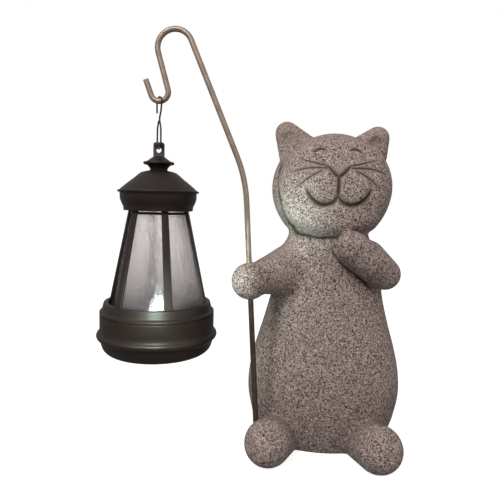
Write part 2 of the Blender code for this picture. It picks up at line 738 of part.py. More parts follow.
def main():
    for old in list(bpy.data.objects):
        bpy.data.objects.remove(old)

    stone = material("cast_stone_grey", (0.245, 0.203, 0.184), 0.85)
    rod_paint = material("taupe_paint", (0.235, 0.178, 0.144), 0.45, 0.3)
    wire_steel = material("dark_wire", (0.030, 0.028, 0.027), 0.45, 0.6)
    plastic = material("dark_brown_plastic", (0.030, 0.023, 0.020), 0.5)
    clear = material("clear_plastic", (0.95, 0.96, 0.97), 0.05, 0.0, 1.0)
    glow = material("light_lens", (0.90, 0.92, 0.93), 0.3)
    glow.node_tree.nodes["Principled BSDF"].inputs["Emission Color"].default_value = (0.9, 0.95, 1.0, 1.0)
    glow.node_tree.nodes["Principled BSDF"].inputs["Emission Strength"].default_value = 4.0

    build_cat(stone)
    rod_points, hook = rod_path()
    tube("crook_rod", rod_points, ROD_DIAMETER, ROD_SIDES, rod_paint)
    wire_points, wire_bottom = wire_path(hook)
    tube("hanging_wire", smooth_path(wire_points, 2), WIRE_DIAMETER, 6, wire_steel)

    lantern = bpy.data.objects.new("lantern", None)
    bpy.context.scene.collection.objects.link(lantern)
    seat = cap_heights()[-1] + LUG_HOLE_HEIGHT + LUG_HOLE / 2 - WIRE_DIAMETER / 2 - WIRE_SEAT
    lantern.location = (hook.x, hook.y, wire_bottom - seat)
    build_base(plastic, lantern)
    build_frame(plastic, lantern)
    build_glass(clear, lantern)
    build_cap(plastic, lantern)
    build_light(glow, lantern)


main()
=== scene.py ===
"""Solar cat garden statue: the looks of the part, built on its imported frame.

The file follows the statue as it is put together: the cast cat, the steel rod that stands in its foot
and paw, the wire on the rod, and the lantern that hangs on the wire, from its bowl up to its cap. The
last section is the studio. Lengths are in millimetres until MM turns them to metres.
"""

from math import atan2, cos, pi, radians, sin, tau

import bpy
import numpy as np
from mathutils import Matrix, Vector
from mathutils.kdtree import KDTree


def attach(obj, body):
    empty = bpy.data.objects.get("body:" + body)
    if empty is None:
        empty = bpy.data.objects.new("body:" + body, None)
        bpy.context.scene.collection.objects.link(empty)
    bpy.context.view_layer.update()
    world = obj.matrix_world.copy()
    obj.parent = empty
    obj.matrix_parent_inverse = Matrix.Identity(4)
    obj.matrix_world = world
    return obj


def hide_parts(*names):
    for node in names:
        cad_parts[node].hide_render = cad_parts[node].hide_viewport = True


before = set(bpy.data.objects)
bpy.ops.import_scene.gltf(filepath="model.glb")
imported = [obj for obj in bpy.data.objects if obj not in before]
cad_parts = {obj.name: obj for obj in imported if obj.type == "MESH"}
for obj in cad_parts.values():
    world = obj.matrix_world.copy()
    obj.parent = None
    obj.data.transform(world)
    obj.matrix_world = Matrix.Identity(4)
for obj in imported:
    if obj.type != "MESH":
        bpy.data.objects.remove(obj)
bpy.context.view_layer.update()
MM = 0.001


# The cat is one hollow casting of polyester resin that is filled with stone powder. Its figure was
# modelled from simple rounded masses, and the face was drawn into it with a tool. The mould gives its
# front a skin of small worm-like pits, while the sides of the head and the shoulders came out smoother.

def deselect():
    bpy.ops.object.select_all(action="DESELECT")


def pick(obj):
    """Select one object alone and make it the active one."""
    deselect()
    obj.select_set(True)
    bpy.context.view_layer.objects.active = obj


def face_outwards():
    """Leave edit mode with every face of the mesh pointing outwards."""
    bpy.ops.mesh.select_all(action="SELECT")
    bpy.ops.mesh.normals_make_consistent(inside=False)
    bpy.ops.object.mode_set(mode="OBJECT")


def curve_point(a, b, c, d, t):
    """A point between b and c, at the share t of the way, on the smooth curve through a, b, c and d."""
    return 0.5 * (
        2 * b + (c - a) * t + (2 * a - 5 * b + 4 * c - d) * t * t + (3 * b - a - 3 * c + d) * t ** 3
    )


def between(rows, height):
    """The values of rows of (height, ...) at a height, on a smooth curve through the rows."""
    heights = [row[0] for row in rows]
    k = min(max(int(np.searchsorted(heights, height)) - 1, 0), len(rows) - 2)
    a, b, c, d = (np.array(rows[min(max(i, 0), len(rows) - 1)][1:]) for i in range(k - 1, k + 3))
    return curve_point(a, b, c, d, (height - heights[k]) / (heights[k + 1] - heights[k]))


# The body is one upright form, drawn up in slices from its half width and half depth at each height.
BODY_MIDDLE = 0.3
SLICE = 4
body_rows = [
    (-6, 49, 32), (1, 53, 34), (9, 56.5, 36), (22, 61, 37.5), (42, 64.8, 38.5), (62, 63.8, 38.5),
    (82, 59.4, 37), (103, 53.2, 34.5), (125, 47.6, 32), (148, 44.5, 29), (163, 41, 25.5),
    (176, 34, 22.5), (190, 32, 22),
]
height, width, depth = body_rows[0]
deselect()
bpy.ops.mesh.primitive_circle_add(
    vertices=96, radius=MM, fill_type="NGON", location=(BODY_MIDDLE * MM, 0, height * MM)
)
body = bpy.context.object
bpy.ops.object.mode_set(mode="EDIT")
bpy.ops.transform.resize(value=(width, depth, 1))
while height < body_rows[-1][0]:
    next_width, next_depth = between(body_rows, height + SLICE)
    bpy.ops.mesh.extrude_region_move(TRANSFORM_OT_translate={"value": (0, 0, SLICE * MM)})
    bpy.ops.transform.resize(value=(next_width / width, next_depth / depth, 1))
    height, width, depth = height + SLICE, next_width, next_depth
face_outwards()


def add_ball(middle, half, squared=0.0):
    """A rounded mass with these half sizes, its sides squared off a little."""
    deselect()
    bpy.ops.mesh.primitive_uv_sphere_add(segments=72, ring_count=48, radius=MM)
    ball = bpy.context.object
    if squared:
        cast = ball.modifiers.new("Square off", "CAST")
        cast.cast_type = "CUBOID"
        cast.factor = squared
        bpy.ops.object.modifier_apply(modifier=cast.name)
    bpy.ops.object.mode_set(mode="EDIT")
    bpy.ops.mesh.select_all(action="SELECT")
    bpy.ops.transform.resize(value=half)
    bpy.ops.transform.translate(value=Vector(middle) * MM)
    bpy.ops.object.mode_set(mode="OBJECT")
    return ball


def add_skin(balls, flatness=1.0):
    """A mass drawn tight over balls, each given as its middle and radius."""
    deselect()
    (middle, radius), *others = balls
    bpy.ops.mesh.primitive_ico_sphere_add(subdivisions=5, radius=radius * MM, location=Vector(middle) * MM)
    skin = bpy.context.object
    bpy.ops.object.mode_set(mode="EDIT")
    for middle, radius in others:
        bpy.ops.mesh.primitive_ico_sphere_add(
            subdivisions=5, radius=radius * MM, location=Vector(middle) * MM
        )
    bpy.ops.mesh.select_all(action="SELECT")
    bpy.ops.mesh.convex_hull()
    bpy.ops.object.mode_set(mode="OBJECT")
    skin.scale.y = flatness
    bpy.ops.object.transform_apply(location=True, rotation=True, scale=True)
    return skin


# The head is three flattened balls and a broad chin. Each arm runs from the shoulder through the elbow to
# the paw: the right paw is held out to the rod, and the left one lies on the chest.
HEAD_SQUARENESS = 0.11
right_shoulder, right_elbow = ((-30, -6, 147), 22.5), ((-55, -38, 144), 13)
right_paw = ((-62.4, -46, 142.5), 14.5)
left_shoulder, left_elbow = ((33, -8, 160), 14.5), ((44.5, -22, 148.5), 13)
left_wrist, left_paw = ((29, -33, 160), 13.8), ((15.4, -41, 171.3), 12.5)
masses = [
    body,
    add_ball((1.5, 3, 216.2), (50.3, 26, 44.8), HEAD_SQUARENESS),
    add_ball((2.5, -14, 217), (46.3, 23, 41), HEAD_SQUARENESS),
    add_ball((2, -8, 225), (41, 26, 36)),
    add_ball((3, -20, 196), (35, 17.5, 19)),
    add_skin([right_shoulder, right_elbow]),
    add_skin([right_elbow, right_paw]),
    add_skin([left_shoulder, left_elbow]),
    add_skin([left_elbow, left_wrist]),
    add_skin([left_wrist, left_paw]),
]

# The pads of the muzzle, the ears and the feet come in pairs. An ear is a flattened three-cornered mass,
# and a foot a round toe with two smaller balls behind it that carry it into the body.
ear_tips = {-1: (-37.6, 2, 261.8), 1: (38, 2, 258.9)}
EAR_MIDDLE = 1.5
EAR_FLATNESS = 0.72
FEET_MIDDLE = -1.9
for side in (-1, 1):
    masses.append(add_ball((3.6 + side * 12.8, -31.5, 215), (13, 7, 13.5)))
    outer_root, inner_root = (EAR_MIDDLE + side * 35.6, 3, 243), (EAR_MIDDLE + side * 20.4, 2, 250)
    ear = [(ear_tips[side], 10), (outer_root, 9.5), (inner_root, 9.5)]
    flat_ear = [((x, y / EAR_FLATNESS, z), radius) for (x, y, z), radius in ear]
    masses.append(add_skin(flat_ear, EAR_FLATNESS))
    toe, heel = ((FEET_MIDDLE + side * 42.7, -55, 17), 18.5), ((FEET_MIDDLE + side * 35, -27, 14), 12)
    instep = ((FEET_MIDDLE + side * 26, -31, 7), 8)
    masses.append(add_skin([toe, heel, instep]))

deselect()
for mass in masses:
    mass.select_set(True)
bpy.context.view_layer.objects.active = body
bpy.ops.object.join()
cat = bpy.context.object
cat.name = "cast_cat"
bpy.ops.object.transform_apply(location=True, rotation=True, scale=True)


def apply_modifier(obj, kind, **settings):
    """Add a modifier with these settings and apply it."""
    pick(obj)
    added = obj.modifiers.new(kind.title(), kind)
    for name, value in settings.items():
        setattr(added, name, value)
    bpy.ops.object.modifier_apply(modifier=added.name)


# The masses are worked into each other like clay, the underside is cut flat and the ears are hollowed.
CLAY_STEP = 1.55
GROUND_SIZE = 0.5
EAR_HOLLOW = (8.5, 6.5, 10)
apply_modifier(cat, "REMESH", mode="VOXEL", voxel_size=CLAY_STEP * MM)
apply_modifier(cat, "SMOOTH", factor=0.5, iterations=4)
deselect()
bpy.ops.mesh.primitive_cube_add(size=GROUND_SIZE, location=(0, 0, -GROUND_SIZE / 2))
cutters = [bpy.context.object]
for side in (-1, 1):
    x, y, z = ear_tips[side]
    cutters.append(add_ball((x - side * 2.5, y - 9.5, z - 7), EAR_HOLLOW))
for cutter in cutters:
    apply_modifier(cat, "BOOLEAN", operation="DIFFERENCE", solver="EXACT", object=cutter)
    bpy.data.objects.remove(cutter)


def smooth_line(points, steps=8):
    """A smooth line through a few points."""
    points = [np.array(point, float) for point in points]
    ends = [2 * points[0] - points[1], *points, 2 * points[-1] - points[-2]]
    line = []
    for a, b, c, d in zip(ends, ends[1:], ends[2:], ends[3:]):
        for k in range(steps):
            line.append(curve_point(a, b, c, d, k / steps))
    return np.array(line + [points[-1]])


# The face stands out from the head as a flat ball, with a crease down its side and under its chin, and
# the raised forearm lies on the chest with a crease below it.
face_edge = [
    (-40, -5.5, 239), (-42, -7, 233), (-43, -10, 225), (-43, -16, 214), (-41.5, -17, 206), (-40, -15, 200),
    (-37.5, -11, 195), (-33.5, -9, 186.5), (-29, -10.5, 181), (-25.5, -13.5, 178.5), (-19, -18, 177.5),
    (-11, -21, 176.5), (-1.5, -22.5, 176.5), (5, -25, 178),
]
arm_edge = [
    (1.5, -26, 172), (3, -26, 165), (7, -26, 160), (11, -26.5, 155), (16, -26, 151), (23, -25.5, 146),
    (31, -22.5, 139), (38, -18, 133),
]
CREASE_BAND = 4.5
crease_points = [point for edge in (face_edge, arm_edge) for point in smooth_line(edge)]
crease_tree = KDTree(len(crease_points))
for k, point in enumerate(crease_points):
    crease_tree.insert(point, k)
crease_tree.balance()


def by_a_crease(point):
    return crease_tree.find(point)[2] < CREASE_BAND


def on_raised_shoulder(point):
    return -54 < point.x < -6 and point.y < 2 and 122 < point.z < 182


def in_ear(point):
    return abs(point.x - EAR_MIDDLE) > 22 and point.z > 250 and point.y < 0


def on_face(point):
    return point.y < -14 and 198 < point.z < 252 and abs(point.x - 3) < 46


def select_faces(obj, wanted):
    """In edit mode, select the faces whose middle the rule takes."""
    bpy.ops.object.mode_set(mode="EDIT")
    bpy.ops.mesh.select_mode(type="FACE")
    bpy.ops.mesh.select_all(action="DESELECT")
    bpy.ops.object.mode_set(mode="OBJECT")
    for face in obj.data.polygons:
        face.select = wanted(face.center / MM)
    bpy.ops.object.mode_set(mode="EDIT")


# Where masses meet they are stroked smooth, and where a line is carved the mesh is made finer first.
for part_of_cat, strokes in ((on_raised_shoulder, 34), (in_ear, 14)):
    select_faces(cat, part_of_cat)
    bpy.ops.mesh.vertices_smooth(factor=0.5, repeat=strokes)
    bpy.ops.object.mode_set(mode="OBJECT")
for part_of_cat, cuts, strokes in ((by_a_crease, 1, 3), (on_face, 2, 5)):
    select_faces(cat, part_of_cat)
    bpy.ops.mesh.subdivide(number_cuts=cuts)
    bpy.ops.mesh.vertices_smooth(factor=0.5, repeat=strokes)
    bpy.ops.object.mode_set(mode="OBJECT")


def mesh_points(obj):
    """The places and the normals of an object's vertices, in millimetres."""
    count = len(obj.data.vertices)
    places, normals = np.empty(count * 3, np.float32), np.empty(count * 3, np.float32)
    obj.data.vertices.foreach_get("co", places)
    obj.data.vertex_normals.foreach_get("vector", normals)
    return places.reshape(-1, 3).astype(float) / MM, normals.reshape(-1, 3).astype(float)


OFF_THE_SURFACE = 7


def near_line(points, line, normals=None):
    """How far each point is from a line, and how far along the line its nearest place is.

    With normals, only the way along the surface counts, where the line isn't far off the surface.
    """
    best = np.full(len(points), np.inf)
    share = np.zeros(len(points))
    for k, (a, b) in enumerate(zip(line, line[1:])):
        step = b - a
        t = np.clip(((points - a) @ step) / (step @ step), 0, 1)
        apart = points - a - t[:, None] * step
        gap = np.linalg.norm(apart, axis=1)
        if normals is not None:
            along_surface = np.sqrt(np.maximum(gap ** 2 - (apart * normals).sum(1) ** 2, 0))
            gap = np.where(gap < OFF_THE_SURFACE, along_surface, gap)
        closer = gap < best
        best[closer] = gap[closer]
        share[closer] = ((k + t) / (len(line) - 1))[closer]
    return best, share


# Each carved line of the face has its points, (across, height) from the middle of the face, its depth,
# and its half width at the start, the middle and the end.
MIDLINE = 3.8
FACE_FRONT = -12
eye = [(-18.6, 243.7), (-16, 246), (-12.8, 246.6), (-9.4, 245.4)]
nose_side = [(-8.4, 232.6), (-4.6, 228), (0, 224.2)]
mouth = [
    (0, 209.6), (-3.6, 205.2), (-9.8, 203), (-15.6, 203.7), (-20.6, 207.2), (-24, 211.8), (-25, 215),
]
high_whisker = [(-9, 233), (-18, 235), (-30, 238.4)]
middle_whisker = [(-9.4, 231.4), (-25, 231), (-37.5, 227.6)]
low_whisker = [(-13, 229.6), (-22, 224.6), (-33, 216)]


def across(side, points, shift=0.0):
    """A smooth line on one side of the face, shifted sideways."""
    return smooth_line([(side * x + shift, z) for x, z in points])


carving = [(smooth_line([(0, 225), (0, 209.6)], 1), 1.6, (1.3, 1.5, 1.4))]
for side in (1, -1):
    carving += [
        (across(side, eye, -1.4), 1.5, (0.5, 1.2, 0.5)),
        (across(side, nose_side), 1.2, (0.7, 1.0, 1.2)),
        (across(side, mouth), 2.0, (1.4, 1.8, 0.6)),
        (across(side, high_whisker), 0.8, (0.6, 0.55, 0.3)),
        (across(side, middle_whisker), 0.8, (0.6, 0.55, 0.3)),
        (across(side, low_whisker), 0.8, (0.45, 0.55, 0.3)),
    ]
places, normals = mesh_points(cat)
flat = places[:, [0, 2]] - (MIDLINE, 0)
front = places[:, 1] < FACE_FRONT
sunk, painted_shade, calm = (np.zeros(len(places)) for _ in range(3))
CALM_EDGE = 1.3
for line, depth, widths in carving:
    gap, share = near_line(flat, line)
    half = np.interp(share, (0, 0.5, 1), widths)
    cut = np.where(front, np.exp(-(gap / half) ** 2 * 0.9), 0)
    end = np.interp(share, (0, 0.15, 0.85, 1), (0.8, 1, 1, 0.6))
    sunk = np.maximum(sunk, cut * depth * end)
    # The floor of each carved line is darkened with painted shade.
    painted_shade = np.maximum(painted_shade, cut * end)
    calm = np.maximum(calm, np.where(front, np.exp(-(gap / (half + CALM_EDGE)) ** 2), 0))

# Each crease has its points, its depth, its half width at the start, the middle and the end, and how
# dark the painted shade on its floor is.
creases = [(face_edge, 1.1, (2.4, 2.9, 1.2), 0.95), (arm_edge, 1.3, (1.1, 1.2, 1.1), 0.85)]
for points, depth, widths, dark in creases:
    gap, share = near_line(places, smooth_line(points), normals)
    half = np.interp(share, (0, 0.5, 1), widths)
    cut = np.exp(-(gap / half) ** 2) * np.interp(share, (0, 0.1, 0.9, 1), (0.1, 1, 1, 0.2))
    sunk = np.maximum(sunk, cut * depth)
    painted_shade = np.maximum(painted_shade, cut * dark)

# The nose is a small raised triangle with a soft top edge.
NOSE_TIP, NOSE_TOP, NOSE_RISE = 224.6, 235.5, 1.1
NOSE_SLOPE, NOSE_EDGE = 1.02, 2.4
above_sides = flat[:, 1] - NOSE_TIP - np.abs(flat[:, 0]) * NOSE_SLOPE
nose = np.clip(np.minimum(above_sides, NOSE_EDGE) / NOSE_EDGE, 0, 1)
nose *= np.clip((NOSE_TOP - flat[:, 1]) / 4, 0, 1) * front
places += normals * (nose * NOSE_RISE - sunk)[:, None]
cat.data.vertices.foreach_set("co", (places * MM).astype(np.float32).ravel())
cat.data.update()


def paint(obj, name, values):
    """Keep one number for each vertex, for the material to read."""
    layer = obj.data.attributes.new(name, "FLOAT", "POINT")
    layer.data.foreach_set("value", np.clip(values, 0, 1).astype(np.float32))


# The sides came out of the mould smoother than the front, and so did the back to a lesser degree. The
# paws and feet, which stand furthest forward, are as rough as the front. The nose is nearly smooth, and
# the ears and a narrow edge along each carved line are partly so.
sideways = np.clip((normals[:, 1] + 0.6) / 0.5, 0, 1)
backward = np.clip(normals[:, 1] * 1.5 - 0.2, 0, 1)
knob = np.clip((-28 - places[:, 1]) / 8, 0, 1)
ear_front = np.clip((places[:, 2] - 246) / 8, 0, 1) * (np.abs(places[:, 0] - EAR_MIDDLE) > 24)
smooth = np.maximum(sideways * (1 - knob) * (1 - 0.35 * backward), nose * 0.85)
smooth = np.maximum(smooth, np.maximum(0.5 * ear_front, 0.65 * calm))

# Painted shade darkens the carved lines and the creases, and the lower part of the body, between and above
# the feet.
low_body_shade = 0.24 * np.clip((62 - places[:, 2]) / 45, 0, 1) * np.clip((places[:, 1] + 48) / 12, 0, 1)
paint(cat, "painted_shade", np.maximum(painted_shade, low_body_shade))
paint(cat, "smooth", smooth)
pick(cat)
bpy.ops.object.shade_smooth()


def linear(hex_colour):
    """An sRGB hex colour as linear numbers with an alpha of 1."""
    parts = [int(hex_colour[k:k + 2], 16) / 255 for k in (1, 3, 5)]
    return (*(c / 12.92 if c <= 0.04045 else ((c + 0.055) / 1.055) ** 2.4 for c in parts), 1.0)


def fill_sockets(node, inputs):
    """Link another node's output into a socket, or set the socket to a plain value."""
    for socket, value in inputs.items():
        if isinstance(value, bpy.types.NodeSocket):
            node.id_data.links.new(value, node.inputs[socket])
        else:
            node.inputs[socket].default_value = value


def add_node(tree, kind, output, inputs=None, stops=(), **settings):
    """Add a node with its settings, its inputs and a ramp's stops, and give back one of its outputs.

    A stop is a place and a hex colour or a grey.
    """
    made = tree.nodes.new("ShaderNode" + kind)
    for name, value in settings.items():
        setattr(made, name, value)
    fill_sockets(made, inputs or {})
    for k, (place, colour) in enumerate(stops):
        stop = made.color_ramp.elements[k] if k < 2 else made.color_ramp.elements.new(place)
        stop.position = place
        stop.color = linear(colour) if isinstance(colour, str) else (colour, colour, colour, 1.0)
    return made.outputs[output]


def new_material(name):
    """A material with its node tree and its surface shader."""
    made = bpy.data.materials.new(name)
    made.use_nodes = True
    return made, made.node_tree, made.node_tree.nodes["Principled BSDF"]


# Cast stone-filled resin: dry and matt, a grey-brown body with a net of thin pale, pinkish ridges round
# pits that stay dark, because the wash of colour was wiped off the high places. The ridges' pale colour is
# partly a painted highlight on their tops, and the carved lines, the creases and the low body are darkened
# with painted shade. The grit of the powder is drawn coarser than it is, so that it shows. A colour mix
# takes its two colours in sockets 6 and 7 and gives its result in output 2.
PIT_SPACING, RIDGE_SPACING, BLOTCH_SIZE, GRIT_SIZE = 1.15, 1.9, 32, 0.6
MIX_FIRST, MIX_SECOND, MIX_RESULT = 6, 7, 2
stone, tree, surface = new_material("stone_filled_resin")
coords = add_node(tree, "TexCoord", "Object")
smoothness = add_node(tree, "Attribute", "Fac", attribute_name="smooth")
painted_shade_mask = add_node(tree, "Attribute", "Fac", attribute_name="painted_shade")
worms = add_node(tree, "TexNoise", "Fac", {
    "Vector": coords, "Scale": 1 / (PIT_SPACING * MM), "Detail": 1.0, "Roughness": 0.5, "Distortion": 0.7,
})
net = add_node(tree, "TexNoise", "Fac", {
    "Vector": coords, "Scale": 1 / (RIDGE_SPACING * MM), "Detail": 1.0, "Roughness": 0.4, "Distortion": 0.6,
})
blotches = add_node(tree, "TexNoise", "Fac", {
    "Vector": coords, "Scale": 1 / (BLOTCH_SIZE * MM), "Detail": 3.0, "Roughness": 0.6,
})
grit = add_node(tree, "TexNoise", "Fac", {
    "Vector": coords, "Scale": 1 / (GRIT_SIZE * MM), "Detail": 2.0, "Roughness": 0.7,
})
ridges = add_node(tree, "ValToRGB", 0, {0: net}, [(0.44, 0.0), (0.50, 0.95), (0.56, 0.0)])
pit_colour = add_node(
    tree, "ValToRGB", 0, {0: worms}, [(0.38, "#55474a"), (0.49, "#8d7e7a"), (0.59, "#c1b2ac")]
)
smooth_colour = add_node(tree, "ValToRGB", 0, {0: grit}, [(0.3, "#91847e"), (0.7, "#a99b94")])
blotch_colour = add_node(tree, "ValToRGB", 0, {0: blotches}, [(0.35, "#77706a"), (0.65, "#857c80")])
pit_height = add_node(tree, "ValToRGB", 0, {0: worms}, [(0.36, 0.0), (0.50, 0.65), (0.62, 1.0)])
# The pale ridge colour is partly a painted highlight on the ridge tops.
net_with_painted_highlight = add_node(
    tree, "Mix", MIX_RESULT, {0: ridges, MIX_FIRST: pit_colour, MIX_SECOND: linear("#e6d9d4")},
    data_type="RGBA",
)
wiped = add_node(
    tree, "Mix", MIX_RESULT, {0: smoothness, MIX_FIRST: net_with_painted_highlight, MIX_SECOND: smooth_colour},
    data_type="RGBA",
)
toned = add_node(
    tree, "Mix", MIX_RESULT, {0: 0.5, MIX_FIRST: wiped, MIX_SECOND: blotch_colour},
    data_type="RGBA", blend_type="SOFT_LIGHT",
)
# Painted shade: where the mask is high, the colour goes to this dark brown.
colour = add_node(
    tree, "Mix", MIX_RESULT, {0: painted_shade_mask, MIX_FIRST: toned, MIX_SECOND: linear("#362c28")},
    data_type="RGBA",
)
relief = add_node(
    tree, "Mix", MIX_RESULT, {0: 0.5, MIX_FIRST: pit_height, MIX_SECOND: ridges},
    data_type="RGBA", blend_type="ADD",
)
calmed = add_node(
    tree, "Mix", MIX_RESULT, {0: smoothness, MIX_FIRST: relief, MIX_SECOND: (0.8, 0.8, 0.8, 1.0)},
    data_type="RGBA",
)
pits = add_node(tree, "Bump", "Normal", {"Strength": 0.9, "Distance": 0.55 * MM, "Height": calmed})
grain = add_node(tree, "Bump", "Normal", {
    "Strength": 0.3, "Distance": 0.15 * MM, "Height": grit, "Normal": pits,
})
fill_sockets(surface, {
    "Base Color": colour, "Roughness": 0.86, "Specular IOR Level": 0.2, "Normal": grain,
})


def dress(obj, finish, node):
    """Give a finished piece its material, and let it stand for its CAD node."""
    obj.data.materials.clear()
    obj.data.materials.append(finish)
    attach(obj, "root")
    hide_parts(node)


dress(cat, stone, "cat")


# The rod is one length of round mild steel, bent cold on a jig and sprayed a satin taupe. It stands in a
# hole in the foot and runs up through the paw. Its end is sawn off square.

ROD_DIAMETER = 4.3


def bent_bar(start, through, bends, tip):
    """The middle line of a bar that starts at one point towards another, in an upright plane.

    Each bend is the straight before it, its radius and its angle. The tip is the last straight.
    """
    place, along = np.array(start, float), np.array(through, float) - np.array(start, float)
    heading = atan2(along[2], along[0])
    line = [place.copy()]
    for straight, radius, angle in bends:
        place = place + straight * np.array((cos(heading), 0, sin(heading)))
        turn = 1 if angle > 0 else -1
        middle = place + turn * radius * np.array((-sin(heading), 0, cos(heading)))
        steps = max(6, round(abs(angle) / 5))
        for k in range(steps + 1):
            now = heading + radians(angle) * k / steps
            line.append(middle - turn * radius * np.array((-sin(now), 0, cos(now))))
        heading += radians(angle)
        place = line[-1]
    line.append(place + tip * np.array((cos(heading), 0, sin(heading))))
    return line


def add_object(name, data):
    """Put new data into the scene as an object, and pick it."""
    made = bpy.data.objects.new(name, data)
    bpy.context.scene.collection.objects.link(made)
    pick(made)
    return made


WELD_GAP = 0.001 * MM


def round_bar(name, line, diameter, sides):
    """A round bar along a line, as a mesh with closed ends."""
    curve = bpy.data.curves.new(name, "CURVE")
    curve.dimensions = "3D"
    curve.bevel_depth = diameter * MM / 2
    curve.bevel_resolution = (sides - 4) // 2
    curve.use_fill_caps = True
    spline = curve.splines.new("POLY")
    spline.points.add(len(line) - 1)
    for point, place in zip(spline.points, line):
        point.co = (*(Vector(place) * MM), 1.0)
    add_object(name, curve)
    bpy.ops.object.convert(target="MESH")
    bpy.ops.object.mode_set(mode="EDIT")
    bpy.ops.mesh.select_all(action="SELECT")
    bpy.ops.mesh.remove_doubles(threshold=WELD_GAP)
    face_outwards()
    bpy.ops.object.shade_smooth_by_angle(angle=radians(40))
    return bpy.context.object


SOCKET_FLOOR = (-53.4, -46, 8)
rod_bends = [(196.0, 105, 19.3), (92.3, 13.3, 172.6), (28.4, 6.8, -175.7)]
rod_line = bent_bar(SOCKET_FLOOR, right_paw[0], rod_bends, 12.1)
rod = round_bar("steel_rod", rod_line, ROD_DIAMETER, 28)

# Sprayed satin steel: a soft shine that breaks up where the paint is mottled and speckled. Below the paw
# its colour is darker.
PAINT_MOTTLE, PAINT_SPECK = 9, 1.1
DARK_PART_TOP, DARK_PART_FADE = 131, 5
taupe, tree, surface = new_material("sprayed_satin_steel")
coords = add_node(tree, "TexCoord", "Object")
mottle = add_node(tree, "TexNoise", "Fac", {
    "Vector": coords, "Scale": 1 / (PAINT_MOTTLE * MM), "Detail": 3.0, "Roughness": 0.6,
})
specks = add_node(tree, "TexNoise", "Fac", {
    "Vector": coords, "Scale": 1 / (PAINT_SPECK * MM), "Detail": 2.0, "Roughness": 0.6,
})
paint_tone = add_node(tree, "ValToRGB", 0, {0: mottle}, [(0.35, "#8f7e71"), (0.65, "#a59486")])
# A darker tone for the rod below the paw.
dark_part_tone = add_node(tree, "ValToRGB", 0, {0: mottle}, [(0.35, "#43352f"), (0.65, "#54453e")])
speck_share = add_node(tree, "ValToRGB", 0, {0: specks}, [(0.27, 1.0), (0.34, 0.0)])
above_dark_part = add_node(tree, "MapRange", 0, {
    "Value": add_node(tree, "SeparateXYZ", "Z", {0: coords}),
    "From Min": (DARK_PART_TOP - DARK_PART_FADE) * MM, "From Max": DARK_PART_TOP * MM,
})
sprayed = add_node(
    tree, "Mix", MIX_RESULT, {0: above_dark_part, MIX_FIRST: dark_part_tone, MIX_SECOND: paint_tone},
    data_type="RGBA",
)
speckled = add_node(
    tree, "Mix", MIX_RESULT, {0: speck_share, MIX_FIRST: sprayed, MIX_SECOND: linear("#4a3b31")},
    data_type="RGBA",
)
fill_sockets(surface, {
    "Base Color": speckled,
    "Roughness": add_node(tree, "ValToRGB", 0, {0: specks}, [(0.3, 0.5), (0.7, 0.34)]),
    "Metallic": 0.45,
    "Normal": add_node(tree, "Bump", "Normal", {"Strength": 0.25, "Distance": 0.08 * MM, "Height": specks}),
})
dress(rod, taupe, "crook_rod")


# The wire is a short piece of black-annealed steel wire. Its upper end is bent over the rod's hook, and
# its lower end is a long closed loop, threaded through the lantern's lug and nipped together above it.

# Its hook and its loop stand at these turns about the upright, in degrees. The loop is widest at its foot,
# is a little narrower at its shoulder, and closes at the crossing.
WIRE_DIAMETER = 1.3
GAP = 0.3
WIRE_TAIL = 8.5
HOOK_TURN, LOOP_TURN = 52, 60
WIRE_HEIGHT, LOOP_HEIGHT = 38.65, 22.05
LOOP_HALF, LOOP_SHOULDER, SHOULDER_DROP, LOOP_ROUNDNESS = 4.9, 4.41, 6.6, 2.8
hook = Vector((-134.83, -46, 277.87))
clear = ROD_DIAMETER / 2 + WIRE_DIAMETER / 2 + GAP
wire_foot = hook.z + clear - WIRE_HEIGHT
crossing = wire_foot + LOOP_HEIGHT


def beside(turn, reach, height):
    """A point of the wire, out from the middle of the hook in the direction of its turn."""
    return Vector((hook.x + reach * cos(radians(turn)), hook.y - reach * sin(radians(turn)), height))


# Over the hook, and down to the crossing.
over = clear / sin(radians(HOOK_TURN)) + GAP
wire_points = [beside(HOOK_TURN, -over, hook.z - WIRE_TAIL), beside(HOOK_TURN, -over, hook.z)]
for k in range(1, 4):
    angle = pi - pi * k / 4
    wire_points.append(beside(HOOK_TURN, over * cos(angle), hook.z + clear * sin(angle)))
wire_points += [beside(HOOK_TURN, over, hook.z), beside(HOOK_TURN, over * 0.8, (hook.z + crossing) / 2)]
wire_points += [beside(LOOP_TURN, WIRE_DIAMETER * 0.8, crossing)]

# Round the loop, and back to the crossing.
wire_points += [beside(LOOP_TURN, LOOP_SHOULDER, crossing - SHOULDER_DROP)]
wire_points += [beside(LOOP_TURN, LOOP_HALF, wire_foot + LOOP_HALF)]
for k in range(1, 6):
    x, z = cos(-pi * k / 6), sin(-pi * k / 6)
    x, z = abs(x) ** (2 / LOOP_ROUNDNESS) * (1 if x > 0 else -1), -abs(z) ** (2 / LOOP_ROUNDNESS)
    wire_points.append(beside(LOOP_TURN, LOOP_HALF * x, wire_foot + LOOP_HALF + LOOP_HALF * z))
wire_points += [beside(LOOP_TURN, -LOOP_HALF, wire_foot + LOOP_HALF)]
wire_points += [beside(LOOP_TURN, -LOOP_SHOULDER, crossing - SHOULDER_DROP)]
wire_points += [beside(LOOP_TURN, -WIRE_DIAMETER * 0.8, crossing - 1)]
wire = round_bar("annealed_wire", smooth_line(wire_points, 6), WIRE_DIAMETER, 16)

